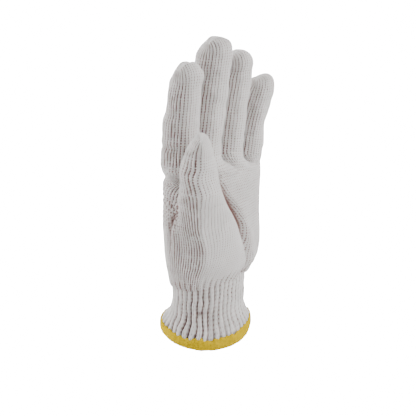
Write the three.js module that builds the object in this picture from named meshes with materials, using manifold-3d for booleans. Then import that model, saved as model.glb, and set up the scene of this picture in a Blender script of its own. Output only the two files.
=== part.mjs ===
// A seamless knitted cotton work glove for the left hand, as it stands when it is worn:
// four finger stalls and a thumb stall on a palm tube, a ribbed cuff and a bound hem.
// Millimetres. +Z runs from the wrist to the fingertips, the palm faces -Y and the thumb is
// on the -X side. The origin is the centre of the cuff's opening, where the wrist goes in.

import * as THREE from "three";
import { mergeVertices } from "three/addons/utils/BufferGeometryUtils.js";
import Module from "manifold-3d";

const wasm = await Module();
wasm.setup();

// Fabric
const WALL = 2.0; // thickness of the plain knit
const SEAM_GAP = 0.3; // left between two knitted sections
const RIB_COUNT = 40;
const RIB_HEIGHT = 1.3; // how far a rib stands above the groove beside it

// Heights, from the hem up
const HEM_HEIGHT = 8.0; // outer leg of the binding
const CUFF_HEIGHT = 34.0; // from the top of the binding to the palm
const CUFF_TILT = 10.5; // how much the cuff's top rises across the wrist
const CUFF_TILT_SIDE = -72.0; // degrees about +Z from +X to its high side
const PALM_HEIGHT = 100.5; // from the cuff to the crotch beside the middle finger

// Cuff and hem
const WRIST_WIDTH = 60.0;
const WRIST_DEPTH = 46.0;
const HEM_FLARE = 6.3; // how much further out the cuff stands at the hem, on each side
const HEM_TILT = 9.0; // how much the hem falls across the wrist
const HEM_TILT_SIDE = -88.0; // degrees about +Z from +X to its low side
const BINDING = 1.1; // thickness of one leg of the binding
const BINDING_CLEARANCE = 0.3; // between the binding and the cuff's edge inside it
const BINDING_TURN_IN = 7.0; // height of the leg inside the cuff

// Palm. Its width at the knuckles is the fingers' widths, side by side.
const PALM_DEPTH = 34.0;
const PALM_LEAN = 7.0; // how far the knuckles stand forward of the cuff's opening

// Fingers, from the thumb's side. crotch is how far below the palm's top the stall starts,
// rise is from there to the tip, lean and bow move the tip towards +X and -Y, and taper is how
// much narrower the tip is.
const FINGERS = [
  { name: "index_stall", width: 24.5, depth: 25.5, crotch: 3, rise: 71, lean: 0, bow: 8, taper: 5.5 },
  { name: "middle_stall", width: 24.5, depth: 27, crotch: 0, rise: 83.5, lean: 0, bow: 13.5, taper: 3 },
  { name: "ring_stall", width: 24, depth: 26.5, crotch: 2, rise: 73.5, lean: 2, bow: 11.5, taper: 3 },
  { name: "little_stall", width: 23, depth: 25, crotch: 9, rise: 59, lean: 10.5, bow: 9, taper: 3 },
];
const FINGER_GAP = 0.6; // between neighbouring stalls where they touch

// Thumb
const THUMB_WIDTH = 27.0; // across the free stall
const THUMB_DEPTH = 28.0; // through its folded edges
const THUMB_RISE = 127.0; // from the cuff's top to its tip
const THUMB_STALL = 54.0; // length of the stall above its seam

// Points round each section, and steps along each loft
const FINGER_SIDES = 16;
const FINGER_STEPS = 6;
const PALM_SIDES = 36;
const PALM_STEPS = 9;
const THUMB_SIDES = 20;
const THUMB_STEPS = 10;
const DOME_STEPS = 4;
const HEM_SIDES = 40;

// Powers of the squared ovals: 2 is an ellipse, more is squarer and less is sharper edged
const FINGER_POWER = 2.3;
const PALM_POWER = 2.3;
const THUMB_POWER = 1.9;
const CUFF_POWER = 2.1;

// A dome's height as a share of its width, and how blunt it is
const FINGER_DOME = 0.52;
const THUMB_DOME = 0.5;
const DOME_POWER = 2.5;
const DOME_END = 0.12; // radius of a dome's last ring, as a share of its foot's

// How late along a stall its sideways lean and its forward bow set in
const LEAN_POWER = 2.0;
const BOW_POWER = 1.4;

// The palm's rings crowd towards the wrist. The cuff's tilt dies away over the first share of
// the palm's height, and the step of the crotches comes in over the last one.
const PALM_CROWDING = 1.25;
const TILT_FADE = 0.33;
const CROTCH_FADE = 0.25;

// Below its crotch a stall narrows inside the palm. along is a share of the rise, width and
// depth are shares of the finger's own, and taper is a share of its taper.
const STALL_SHAPE = [
  { along: -0.4, width: 0.86, depth: 0.5, taper: 0.0 },
  { along: -0.2, width: 0.96, depth: 0.8, taper: 0.0 },
  { along: 0.0, width: 1.0, depth: 0.98, taper: 0.0 },
  { along: 0.25, width: 1.0, depth: 1.0, taper: 0.0 },
  { along: 0.5, width: 1.0, depth: 1.0, taper: 0.15 },
  { along: 0.75, width: 0.99, depth: 0.98, taper: 0.5 },
  { along: 1.0, width: 0.97, depth: 0.96, taper: 1.0 },
];

// rise is a share of the palm's height. width and depth go from the wrist's size at 0 to the
// knuckles' size at 1, across is a share of the palm's width and out one of its lean.
const PALM_SHAPE = [
  { rise: 0.0, width: 0.03, depth: -0.05, across: 0.0, out: 0.42 },
  { rise: 0.03, width: 0.2, depth: -0.25, across: 0.01, out: 0.44 },
  { rise: 0.1, width: 0.42, depth: -0.2, across: 0.02, out: 0.5 },
  { rise: 0.21, width: 0.68, depth: 0.1, across: 0.02, out: 0.6 },
  { rise: 0.42, width: 0.94, depth: 0.45, across: 0.01, out: 0.8 },
  { rise: 0.65, width: 1.02, depth: 0.7, across: 0.0, out: 0.95 },
  { rise: 0.85, width: 1.01, depth: 0.95, across: 0.0, out: 1.0 },
  { rise: 1.0, width: 0.99, depth: 1.5, across: 0.0, out: 1.0 },
];

// The thumb with the ball of the thumb below it. rise is a share of the thumb's rise. x is a
// share of the palm's width, y one of its depth, and width and depth are the thumb's own
// shares. turn is in degrees about +Z.
const THUMB_SHAPE = [
  { rise: 0.04, x: -0.11, y: -0.47, width: 1.6, depth: 0.78, turn: -20 },
  { rise: 0.165, x: -0.155, y: -0.56, width: 1.85, depth: 0.92, turn: -20 },
  { rise: 0.33, x: -0.22, y: -0.64, width: 1.85, depth: 0.96, turn: -20 },
  { rise: 0.467, x: -0.3, y: -0.75, width: 1.6, depth: 0.96, turn: -26 },
  { rise: 0.58, x: -0.39, y: -0.88, width: 1.28, depth: 1.0, turn: -38 },
  { rise: 0.7, x: -0.45, y: -0.985, width: 1.03, depth: 1.0, turn: -48 },
  { rise: 0.82, x: -0.472, y: -1.06, width: 0.9, depth: 0.94, turn: -48 },
  { rise: 1.0, x: -0.474, y: -1.1, width: 0.75, depth: 0.8, turn: -48 },
];

// rise is a share of the height from the hem to the cuff's top, flare one of the hem's flare
// and out one of the palm's lean.
const CUFF_SHAPE = [
  { rise: 0.0, flare: 1.0, out: 0.0 },
  { rise: 0.16, flare: 0.9, out: 0.06 },
  { rise: 0.28, flare: 0.5, out: 0.12 },
  { rise: 0.45, flare: 0.14, out: 0.2 },
  { rise: 0.7, flare: 0.0, out: 0.31 },
  { rise: 1.0, flare: 0.04, out: 0.4 },
];
const CUFF_RINGS = [0.0, 0.16, 0.25, 0.36, 0.46, 0.54, 0.62, 0.72, 1.0];
const CUFF_INNER_RINGS = [0.0, 0.16, 0.3, 0.54, 1.0];

// Shares of the cuff's height between which its ribs come out of the binding
const RIB_FADE_START = 0.12;
const RIB_FADE_END = 0.26;

// Tucks in the cuff below the thumb, where its ribs bunch. side and spread are in degrees,
// rise and height are shares of the cuff's height and depth is a share of the wall.
const CUFF_TUCKS = [
  { side: -147, spread: 7, rise: 0.54, height: 0.055, depth: 0.9 },
  { side: -150, spread: 12, rise: 0.7, height: 0.1, depth: -0.35 },
  { side: -162, spread: 5, rise: 0.45, height: 0.25, depth: 0.5 },
  { side: -133, spread: 5, rise: 0.4, height: 0.2, depth: 0.4 },
];

const cuffTop = HEM_HEIGHT + CUFF_HEIGHT;
const palmTop = cuffTop + PALM_HEIGHT;
const palmWidth = FINGERS.reduce((total, finger) => total + finger.width, 0);
const thumbSeam = cuffTop + THUMB_RISE - THUMB_STALL;

// Each finger with the x of its middle and the height of its seam
const fingers = FINGERS.map((finger, i) => {
  const before = FINGERS.slice(0, i).reduce((total, other) => total + other.width, 0);
  const x = before + (finger.width - palmWidth) / 2;
  return { ...finger, x, base: palmTop - finger.crotch };
});

const mix = (a, b, share) => a + (b - a) * share;
const range = (count) => Array.from({ length: count }, (_, i) => i);

// A row of a table at any value of its first column, with the others run smoothly between.
function rowAt(table, value) {
  const [column] = Object.keys(table[0]);
  const rate = (a, b, key) => (b[key] - a[key]) / (b[column] - a[column]);
  const above = table.findIndex((row) => row[column] > value);
  const i = above < 0 ? table.length - 2 : Math.max(0, above - 1);
  const [a, b] = [table[i], table[i + 1]];
  const before = table[Math.max(0, i - 1)];
  const after = table[Math.min(table.length - 1, i + 2)];
  const span = b[column] - a[column];
  const t = THREE.MathUtils.clamp((value - a[column]) / span, 0, 1);
  const row = {};
  for (const key of Object.keys(a)) {
    const leave = rate(before, b, key) * span;
    const arrive = rate(a, after, key) * span;
    const bulge = t * (1 - t) ** 2 * leave - t ** 2 * (1 - t) * arrive;
    row[key] = mix(a[key], b[key], t ** 2 * (3 - 2 * t)) + bulge;
  }
  return row;
}

// Points of a squared oval about centre. turn rotates it about +Z, lift gives what is added to
// a point's height, and reach what is added at an angle to its distance from the centre.
function ring(centre, halfWidth, halfDepth, shape) {
  const { sides, power, turn = 0, lift = () => 0, reach = () => 0 } = shape;
  return range(sides).map((s) => {
    const angle = (2 * Math.PI * (s + 0.5)) / sides;
    const [c, n] = [Math.cos(angle), Math.sin(angle)];
    const round = (Math.abs(c) ** power + Math.abs(n) ** power) ** (-1 / power);
    const point = new THREE.Vector3(halfWidth * c * round, halfDepth * n * round, 0);
    point.setLength(point.length() + reach(angle));
    point.applyAxisAngle(new THREE.Vector3(0, 0, 1), turn).add(centre);
    point.z += lift(point);
    return point;
  });
}

// The triangles between rings, each listed anticlockwise as seen from above.
function wrap(rings, closed) {
  const sides = rings[0].length;
  const last = closed ? rings.length : rings.length - 1;
  const index = [];
  for (let r = 0; r < last; r++) {
    const low = r * sides;
    const high = ((r + 1) % rings.length) * sides;
    for (let s = 0; s < sides; s++) {
      const next = (s + 1) % sides;
      index.push(low + s, low + next, high + next, low + s, high + next, high + s);
    }
  }
  return index;
}

// A closed skin over rings that go up, with a cap on the first and the last.
function loft(rings) {
  const sides = rings[0].length;
  const points = rings.flat();
  const index = wrap(rings, false);
  for (const [r, flip] of [[0, true], [rings.length - 1, false]]) {
    const centre = new THREE.Vector3();
    rings[r].forEach((point) => centre.addScaledVector(point, 1 / sides));
    const hub = points.push(centre) - 1;
    for (let s = 0; s < sides; s++) {
      const [a, b] = [r * sides + s, r * sides + ((s + 1) % sides)];
      index.push(hub, flip ? b : a, flip ? a : b);
    }
  }
  return solid(points, index);
}

// A closed skin over rings that go up the outside and come down the inside.
function sleeve(rings) {
  return solid(rings.flat(), wrap(rings, true));
}

function solid(points, index) {
  const geometry = new THREE.BufferGeometry().setFromPoints(points);
  geometry.setIndex(index);
  return fromGeometry(geometry);
}

function fromGeometry(geometry) {
  geometry.deleteAttribute("normal");
  geometry.deleteAttribute("uv");
  const merged = mergeVertices(geometry, 1e-4);
  const vertProperties = new Float32Array(merged.attributes.position.array);
  const triVerts = new Uint32Array(merged.index.array);
  return new wasm.Manifold(new wasm.Mesh({ numProp: 3, vertProperties, triVerts }));
}

// A block wider than the glove, from one height up to another.
function slab(low, high) {
  const side = 4 * palmWidth;
  const box = new THREE.BoxGeometry(side, side, high - low);
  box.translate(0, 0, (low + high) / 2);
  return fromGeometry(box);
}

const sum = (solids) => solids.reduce((all, one) => all.add(one));

// Rings of a dome that closes a loft. at gives a ring for a height and a share of its radius.
function dome(foot, height, at) {
  const rings = range(DOME_STEPS).slice(1).map((i) => {
    const turn = (i / DOME_STEPS) * (Math.PI / 2);
    return at(foot + height * Math.sin(turn), Math.cos(turn) ** (2 / DOME_POWER));
  });
  return [...rings, at(foot + height, DOME_END)];
}

// A finger stall from its root inside the palm to its tip, inset from the outer skin.
function stall(finger, inset) {
  const height = FINGER_DOME * finger.width;
  const foot = finger.rise - height;
  const root = STALL_SHAPE[0].along * finger.rise;
  const at = (rise, radius) => {
    const along = rise / finger.rise;
    const row = rowAt(STALL_SHAPE, along);
    const bend = Math.max(along, 0);
    const x = finger.x + finger.lean * bend ** LEAN_POWER;
    const y = -PALM_LEAN - finger.bow * bend ** BOW_POWER;
    const narrower = finger.taper * row.taper;
    const halfWidth = (finger.width * row.width - narrower - FINGER_GAP) / 2 - inset;
    const halfDepth = (finger.depth * row.depth - narrower) / 2 - inset;
    const centre = new THREE.Vector3(x, y, finger.base + rise);
    const shape = { sides: FINGER_SIDES, power: FINGER_POWER };
    return ring(centre, halfWidth * radius, halfDepth * radius, shape);
  };
  const body = range(FINGER_STEPS + 1).map((i) => at(mix(root, foot, i / FINGER_STEPS), 1));
  return loft([...body, ...dome(foot, height - inset, at)]);
}

// How far below the palm's top the crotches lie at x.
function crotchDrop(x) {
  const table = fingers.map((finger) => ({ x: finger.x, drop: finger.crotch }));
  return rowAt(table, x).drop;
}

// How far a tilt lifts a point: half of it at the wrist's edge on the side that it raises.
function tiltAt(point, tilt, side) {
  const turn = THREE.MathUtils.degToRad(side);
  const along = point.x * Math.cos(turn) + point.y * Math.sin(turn);
  return (tilt * along) / WRIST_WIDTH;
}

// The palm tube, from the cuff to the crotches. below carries it past the cuff's top.
function palm(inset, below) {
  const at = (rise) => {
    const row = rowAt(PALM_SHAPE, rise);
    const halfWidth = mix(WRIST_WIDTH, palmWidth - FINGER_GAP, row.width) / 2 - inset;
    const halfDepth = mix(WRIST_DEPTH, PALM_DEPTH, row.depth) / 2 - inset;
    const centre = new THREE.Vector3(palmWidth * row.across, -PALM_LEAN * row.out, 0);
    centre.z = mix(cuffTop, palmTop - inset, rise);
    const tilted = Math.max(0, 1 - rise / TILT_FADE);
    const dropped = Math.max(0, 1 - (1 - rise) / CROTCH_FADE);
    const lift = (point) =>
      tiltAt(point, CUFF_TILT, CUFF_TILT_SIDE) * tilted - crotchDrop(point.x) * dropped;
    return ring(centre, halfWidth, halfDepth, { sides: PALM_SIDES, power: PALM_POWER, lift });
  };
  const rings = range(PALM_STEPS + 1).map((i) => at((i / PALM_STEPS) ** PALM_CROWDING));
  if (below > 0) {
    rings.unshift(rings[0].map((point) => point.clone().setZ(point.z - below)));
  }
  return loft(rings);
}

// The ball of the thumb and the thumb, up to its tip.
function thumb(inset) {
  const height = THUMB_DOME * THUMB_WIDTH;
  const foot = THUMB_RISE - height;
  const at = (rise, radius) => {
    const row = rowAt(THUMB_SHAPE, rise / THUMB_RISE);
    const halfWidth = (THUMB_WIDTH * row.width) / 2 - inset;
    const halfDepth = (THUMB_DEPTH * row.depth) / 2 - inset;
    const centre = new THREE.Vector3(palmWidth * row.x, PALM_DEPTH * row.y, cuffTop + rise);
    const turn = THREE.MathUtils.degToRad(row.turn);
    const shape = { sides: THUMB_SIDES, power: THUMB_POWER, turn };
    return ring(centre, halfWidth * radius, halfDepth * radius, shape);
  };
  const start = THUMB_SHAPE[0].rise * THUMB_RISE + inset;
  const body = range(THUMB_STEPS + 1).map((i) => at(mix(start, foot, i / THUMB_STEPS), 1));
  return loft([...body, ...dome(foot, height - inset, at)]);
}

// The cuff's own ends, inside the binding's fold and below the palm's seam
const cuffFoot = BINDING + BINDING_CLEARANCE;
const cuffHead = cuffTop - SEAM_GAP;

// A ring of the cuff or the binding. out is measured from the middle of the cuff's wall.
function cuffRing(height, out, sides, reach) {
  const share = (height - cuffFoot) / (cuffHead - cuffFoot);
  const row = rowAt(CUFF_SHAPE, share);
  const spread = HEM_FLARE * row.flare + out - WALL / 2;
  const centre = new THREE.Vector3(0, -PALM_LEAN * row.out, height);
  const lift = (point) => {
    const atHem = tiltAt(point, -HEM_TILT, HEM_TILT_SIDE);
    return mix(atHem, tiltAt(point, CUFF_TILT, CUFF_TILT_SIDE), Math.max(0, share));
  };
  const shape = { sides, power: CUFF_POWER, lift, reach };
  return ring(centre, WRIST_WIDTH / 2 + spread, WRIST_DEPTH / 2 + spread, shape);
}

// How far the tucks push the cuff's wall in at an angle and a share of its height.
function tuckAt(angle, share) {
  return CUFF_TUCKS.reduce((depth, tuck) => {
    const turn = THREE.MathUtils.radToDeg(angle) - tuck.side;
    const around = (THREE.MathUtils.euclideanModulo(turn + 180, 360) - 180) / tuck.spread;
    const along = (share - tuck.rise) / tuck.height;
    return depth + WALL * tuck.depth * Math.exp(-(around ** 2) - along ** 2);
  }, 0);
}

// The ribbed cuff: each rib has two points on its crown and one in the groove beside it.
function cuff() {
  const pointsPerRib = 3;
  const sides = RIB_COUNT * pointsPerRib;
  const outerReach = (share) => {
    const groove = RIB_HEIGHT * THREE.MathUtils.smoothstep(share, RIB_FADE_START, RIB_FADE_END);
    return (angle) => {
      const point = Math.round((angle * sides) / (2 * Math.PI) - 0.5);
      return (point % pointsPerRib === 0 ? -groove : 0) - tuckAt(angle, share);
    };
  };
  const innerReach = (share) => (angle) => -tuckAt(angle, share);
  const inner = -WALL / 2 - RIB_HEIGHT / 2;
  const height = (share) => mix(cuffFoot, cuffHead, share);
  const outside = CUFF_RINGS.map((share) =>
    cuffRing(height(share), WALL / 2, sides, outerReach(share)));
  const inside = CUFF_INNER_RINGS.map((share) =>
    cuffRing(height(share), inner, sides, innerReach(share)));
  return sleeve([...outside, ...inside.reverse()]);
}

// The binding folded over the cuff's edge: one leg outside, one inside and a fold below.
function binding() {
  const outer = WALL / 2 + BINDING_CLEARANCE;
  const inner = -outer - RIB_HEIGHT / 2;
  const profile = [
    [outer + BINDING, BINDING / 2],
    [outer + BINDING, HEM_HEIGHT],
    [outer, HEM_HEIGHT],
    [outer, BINDING],
    [inner, BINDING],
    [inner, BINDING_TURN_IN],
    [inner - BINDING, BINDING_TURN_IN],
    [inner - BINDING, BINDING / 2],
    [inner, 0],
    [outer, 0],
  ];
  return sleeve(profile.map(([out, height]) => cuffRing(height, out, HEM_SIDES)));
}

// Booleans: the outer skins less the inner skins, parted at the seams
const ceiling = palmTop + 2 * THUMB_RISE;
const above = (height) => slab(height, ceiling);
const below = (height) => slab(-palmTop, height);

const hollow = sum([palm(WALL, WALL), thumb(WALL), ...fingers.map((f) => stall(f, WALL))]);

function stallShell(finger) {
  return stall(finger, 0).intersect(above(finger.base + SEAM_GAP)).subtract(hollow);
}

function thumbShell() {
  return thumb(0).intersect(above(thumbSeam + SEAM_GAP)).subtract(hollow);
}

function palmShell() {
  const roots = fingers.map((f) => stall(f, 0).intersect(below(f.base)));
  const thumbRoot = thumb(0).intersect(below(thumbSeam));
  const room = fingers.map((f) => stall(f, -SEAM_GAP).intersect(above(f.base)));
  const thumbRoom = thumb(-SEAM_GAP).intersect(above(thumbSeam));
  return sum([palm(0, 0), thumbRoot, ...roots]).subtract(sum([hollow, thumbRoom, ...room]));
}

// Colours as seen
const cotton = { color: 0xdcd8d4, roughness: 0.95, metalness: 0 };
const overlock = { color: 0xe8c81e, roughness: 0.85, metalness: 0 };

const glove = new THREE.Group();

function addPiece(name, shape, look) {
  const { vertProperties, triVerts } = shape.getMesh();
  const geometry = new THREE.BufferGeometry();
  geometry.setAttribute("position", new THREE.BufferAttribute(vertProperties, 3));
  geometry.setIndex(new THREE.BufferAttribute(triVerts, 1));
  const mesh = new THREE.Mesh(geometry, new THREE.MeshStandardMaterial(look));
  mesh.name = name;
  glove.add(mesh);
}

fingers.forEach((finger) => addPiece(finger.name, stallShell(finger), cotton));
addPiece("thumb_stall", thumbShell(), cotton);
addPiece("palm_body", palmShell(), cotton);
addPiece("rib_cuff", cuff(), cotton);
addPiece("hem_binding", binding(), overlock);

export default glove;
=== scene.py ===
# A knitted cotton work glove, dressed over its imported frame: every stitch of the stalls, the
# palm and the ribbed cuff stands in relief, and the hem is wrapped in yellow overlock thread.

import math

import bpy
import numpy as np
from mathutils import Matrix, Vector


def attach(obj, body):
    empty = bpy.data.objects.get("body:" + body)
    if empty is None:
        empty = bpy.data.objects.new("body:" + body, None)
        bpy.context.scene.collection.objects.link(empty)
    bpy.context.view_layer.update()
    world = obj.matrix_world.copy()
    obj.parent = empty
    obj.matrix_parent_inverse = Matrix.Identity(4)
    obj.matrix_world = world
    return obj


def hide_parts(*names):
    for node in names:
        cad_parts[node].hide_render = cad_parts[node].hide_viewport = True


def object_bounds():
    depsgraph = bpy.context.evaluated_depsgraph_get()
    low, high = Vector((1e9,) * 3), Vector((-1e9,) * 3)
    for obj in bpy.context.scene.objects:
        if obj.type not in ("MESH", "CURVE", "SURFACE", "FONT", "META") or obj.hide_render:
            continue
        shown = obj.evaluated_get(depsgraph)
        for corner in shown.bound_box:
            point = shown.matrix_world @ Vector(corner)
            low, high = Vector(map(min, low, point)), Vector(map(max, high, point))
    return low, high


bl_info = {
    "name": "Knitted work glove",
    "version": (1, 0, 0),
    "blender": (4, 5, 0),
    "location": "3D View > Sidebar > Glove",
    "description": "Knits a cotton work glove over its frame",
    "category": "Add Mesh",
}

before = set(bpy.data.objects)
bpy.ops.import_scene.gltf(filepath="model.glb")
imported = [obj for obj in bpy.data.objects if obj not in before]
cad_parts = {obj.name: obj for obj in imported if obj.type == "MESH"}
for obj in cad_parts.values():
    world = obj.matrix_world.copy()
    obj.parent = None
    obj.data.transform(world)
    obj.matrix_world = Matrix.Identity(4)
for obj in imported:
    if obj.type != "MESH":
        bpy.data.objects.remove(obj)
CAD_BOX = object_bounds()
MM = 0.001

# Sizes of the frame, in millimetres, as the part's source has them
WALL = 2.0
WRIST_WIDTH = 60.0
WRIST_DEPTH = 46.0
HEM_HEIGHT = 8.0
CUFF_HEIGHT = 34.0
CUFF_TILT = 10.5
CUFF_TILT_SIDE = -72.0
HEM_TILT = 9.0
HEM_TILT_SIDE = -88.0
HEM_FLARE = 6.3
BINDING = 1.1
BINDING_CLEARANCE = 0.3
RIB_HEIGHT = 1.3
PALM_HEIGHT = 100.5
PALM_DEPTH = 34.0
PALM_LEAN = 7.0
FINGER_GAP = 0.6
THUMB_WIDTH = 27.0
THUMB_DEPTH = 28.0
THUMB_RISE = 127.0
THUMB_STALL = 54.0
TILT_FADE = 0.33
CROTCH_FADE = 0.25
LEAN_POWER = 2.0
BOW_POWER = 1.4
FINGER_POWER = 2.3
PALM_POWER = 2.3
THUMB_POWER = 1.9
CUFF_POWER = 2.1
FINGER_DOME = 0.52
THUMB_DOME = 0.5
DOME_POWER = 2.5

# node: width, depth, crotch, rise, lean, bow, taper
FINGERS = {
    "index_stall": (24.5, 25.5, 3.0, 71.0, 0.0, 8.0, 5.5),
    "middle_stall": (24.5, 27.0, 0.0, 83.5, 0.0, 13.5, 3.0),
    "ring_stall": (24.0, 26.5, 2.0, 73.5, 2.0, 11.5, 3.0),
    "little_stall": (23.0, 25.0, 9.0, 59.0, 10.5, 9.0, 3.0),
}
# along the stall: width, depth, taper
STALL_SHAPE = (
    (-0.4, 0.86, 0.5, 0.0),
    (-0.2, 0.96, 0.8, 0.0),
    (0.0, 1.0, 0.98, 0.0),
    (0.25, 1.0, 1.0, 0.0),
    (0.5, 1.0, 1.0, 0.15),
    (0.75, 0.99, 0.98, 0.5),
    (1.0, 0.97, 0.96, 1.0),
)
# up the palm: width, depth, across, out
PALM_SHAPE = (
    (0.0, 0.03, -0.05, 0.0, 0.42),
    (0.03, 0.2, -0.25, 0.01, 0.44),
    (0.1, 0.42, -0.2, 0.02, 0.5),
    (0.21, 0.68, 0.1, 0.02, 0.6),
    (0.42, 0.94, 0.45, 0.01, 0.8),
    (0.65, 1.02, 0.7, 0.0, 0.95),
    (0.85, 1.01, 0.95, 0.0, 1.0),
    (1.0, 0.99, 1.5, 0.0, 1.0),
)
# up the thumb: x, y, width, depth, turn
THUMB_SHAPE = (
    (0.04, -0.11, -0.47, 1.6, 0.78, -20.0),
    (0.165, -0.155, -0.56, 1.85, 0.92, -20.0),
    (0.33, -0.22, -0.64, 1.85, 0.96, -20.0),
    (0.467, -0.3, -0.75, 1.6, 0.96, -26.0),
    (0.58, -0.39, -0.88, 1.28, 1.0, -38.0),
    (0.7, -0.45, -0.985, 1.03, 1.0, -48.0),
    (0.82, -0.472, -1.06, 0.9, 0.94, -48.0),
    (1.0, -0.474, -1.1, 0.75, 0.8, -48.0),
)
# up the cuff: flare, out
CUFF_SHAPE = (
    (0.0, 1.0, 0.0),
    (0.16, 0.9, 0.06),
    (0.28, 0.5, 0.12),
    (0.45, 0.14, 0.2),
    (0.7, 0.0, 0.31),
    (1.0, 0.04, 0.4),
)
# tucks in the cuff: side in degrees, spread, rise, height, depth as a share of the wall
CUFF_TUCKS = (
    (-147.0, 7.0, 0.54, 0.055, 1.1),
    (-148.0, 7.0, 0.4, 0.1, -0.8),
    (-150.0, 12.0, 0.7, 0.1, -0.35),
    (-162.0, 5.0, 0.45, 0.25, 0.5),
    (-133.0, 5.0, 0.4, 0.2, 0.4),
    (-187.0, 4.5, 0.27, 0.1, -0.7),
    (-172.0, 5.0, 0.26, 0.1, -0.85),
    (-160.0, 4.5, 0.24, 0.1, -0.85),
    (-145.0, 6.0, 0.22, 0.12, -1.0),
)

CUFF_TOP = HEM_HEIGHT + CUFF_HEIGHT
PALM_TOP = CUFF_TOP + PALM_HEIGHT
PALM_WIDTH = sum(finger[0] for finger in FINGERS.values())
CUFF_FOOT = BINDING + BINDING_CLEARANCE
CUFF_HEAD = CUFF_TOP - 0.3

# The knit: columns of stitches (wales) round each section, and rows (courses) up it
FINGER_WALES = 32
THUMB_WALES = 30
PALM_WALES = 90
HAND_WALES = THUMB_WALES + PALM_WALES
RIDGE_WALE = 12  # runs up the ridge of the thumb
ULNAR_WALE = THUMB_WALES + PALM_WALES / 2  # runs down the little finger's edge
RIB_WALES = 3  # two on a rib, and one in the groove beside it
COURSE = 1.9
YARN_WALL = 1.9
TIP_LINE = 0.8  # length of a tip's closing line, as a share of the width below it
TIP_RUN = 1.5  # length of a tip's outline, as a share of its height
ULNAR_TURN = 43.0  # how far round the wrist the little finger's wale starts, in degrees
PALM_TWIST = 46.0  # how far round the palm it stands lower down
TWIST_START = 0.3  # share of the palm's rise at which it starts to go round
SEAT_START = 0.84  # share of the palm's rise at which it draws in to the stalls
FAN_START = 0.8  # share of the palm's rise at which its wales fan out
CORNERS = (3.6, 1.4)  # width over which the corner beside the thumb is rounded, low and high
CORNER_RISES = (0.62, 0.8)  # shares of the palm's rise between which that changes
THUMB_SEAM = THUMB_RISE - THUMB_STALL  # above the cuff

# One stitch, in wales from the middle of its own and in courses: where its legs are at their
# foot and head, half a leg's width, the start and length of its lean, and its middle and reach
LEG_FOOT = 0.09
LEG_HEAD = 0.31
LEG_WIDTH = 0.21
LEAN_START = -0.2
LEAN_RUN = 1.25
LEG_MIDDLE = 0.425
LEG_REACH = 0.72
HOLE_COURSE = 0.1  # where in a course the hole between two stitches is
HOLE_SIDE = (0.18, 0.42)  # between which painted shade darkens the hole, away from the middle of a wale
WALE_ARC = 3.84  # 4 would make the section of a wale a half circle
WALE_LIMITS = (0.6, 3.0)  # widths between which the relief follows the width

# How unevenly the yarn lies: how far, and the size of a lump in millimetres
WALE_WANDER = (0.05, 7.0)
COURSE_WANDER = (0.1, 6.0)
SLACK_LUMPS = (0.12, 11.0)
SLACK_SPECKS = (0.16, 3.5)
PALM_LUMPS = (0.35, 24.0)
STALL_LUMPS = (0.55, 17.0)
STALL_DIMPLES = (0.2, 7.0)

# How slack the knit is: bold wales, deeper and darker with painted shade, where it is slack and faint
# ones where it is stretched
STALL_SLACK = 0.95
STALL_SLACK_AND_SHADE = 0.45  # on the side towards the thumb, slacker and also darker with painted shade there
STALL_TIGHTER = 0.4  # on the front
INDEX_SLACK_AND_SHADE = 0.35  # behind the thumb, slacker and also painted shade in the gap between them
HAND_SLACK = 0.9
NEAR_SLACK_AND_SHADE = 0.85  # on the near side of the thumb, slacker and partly painted shade on that side
FACE_TIGHTER = 0.55  # right of the thumb's ridge
ROLL_SLACKER = 0.3  # beside the crease
BEHIND_SLACK_AND_SHADE = 0.3  # between the thumb and the index finger, slacker and partly painted shade in the gap
CUFF_SLACK = 0.55
CUFF_GAPS = 0.1
FOLD_TIGHTER = 0.16  # for each millimetre of a fold
FOLD_SHADE = 0.26  # the same
FOLD_DARKEST = 3.7  # depth of a fold past which it gets no darker
GROOVE_SHADE = 0.5  # where the cuff's grooves run on into the hand

# Parts of a mesh to each wale and each course
FINGER_SPLIT = (6, 4)
THUMB_SPLIT = (6, 4)
PALM_SPLIT = (5, 3)
CUFF_SPLIT = (6, 4)
PALM_COURSES = 49
CUFF_COURSES = 15
TIP_CLOSE = 1.4  # courses over which the relief fades out at a tip

# The thumb's ridge and its fuller near side, in millimetres
THUMB_RIDGE = 3.0
RIDGE_HEIGHTS = (58.0, 84.0)  # between which it comes out
THUMB_FULLNESS = 2.2
FULL_HEIGHTS = (136.0, 159.0)
FULL_EDGE = 8.0
FULL_WALES = 2.5  # between the ridge or the back edge and the full stretch

# The cuff and the hem
BUNCHED_SIDE = -175.0  # where the ribs are pushed together, in degrees round the wrist
BUNCHED_DEPTH = 0.5
BUNCHED_SHADE = 0.3
RIB_DEPTH = 1.25  # times RIB_HEIGHT
RIB_SHADE = 0.55  # in the grooves between the ribs
TUCK_SHADE = 0.3  # for each millimetre of a tuck
HEM_DROOP = 3.6  # how far the hem hangs lower at the front of the thumb's side
HEM_DROOP_SIDE = -138.0
HEM_THREADS = 208
THREAD_SPLIT = 4
HEM_ROWS = 30
THREAD_SLANT = 1 / 15  # threads for each millimetre of height
THREAD_RELIEF = 0.42
THREAD_SPREAD = 0.12  # how much further out one thread stands than another
HEM_LUMPS = (0.3, 11.0)

# The hem's section, from its lower edge up the outside and down inside: out and height
HEM_PROFILE = (
    (0.4, 0.0), (1.6, 0.15), (2.35, 1.0), (2.65, 2.6), (2.7, 4.4), (2.55, 6.2), (2.2, 7.5),
    (1.7, 8.1), (1.3, 7.6), (1.2, 6.0), (1.0, 2.2), (-1.0, 2.0), (-1.9, 3.0), (-1.95, 6.0),
    (-2.4, 7.0), (-2.9, 6.8), (-3.15, 5.0), (-3.1, 2.0), (-2.6, 0.5), (-1.4, 0.0), (0.4, 0.0),
)

# where the thumb's ridge is, as a share of the arc round it: share of the palm's rise, share
RIDGE = ((0.2, 0.42), (0.38, 0.34), (0.54, 0.317), (0.72, 0.383), (0.88, 0.45), (1.03, 0.5))

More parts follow.
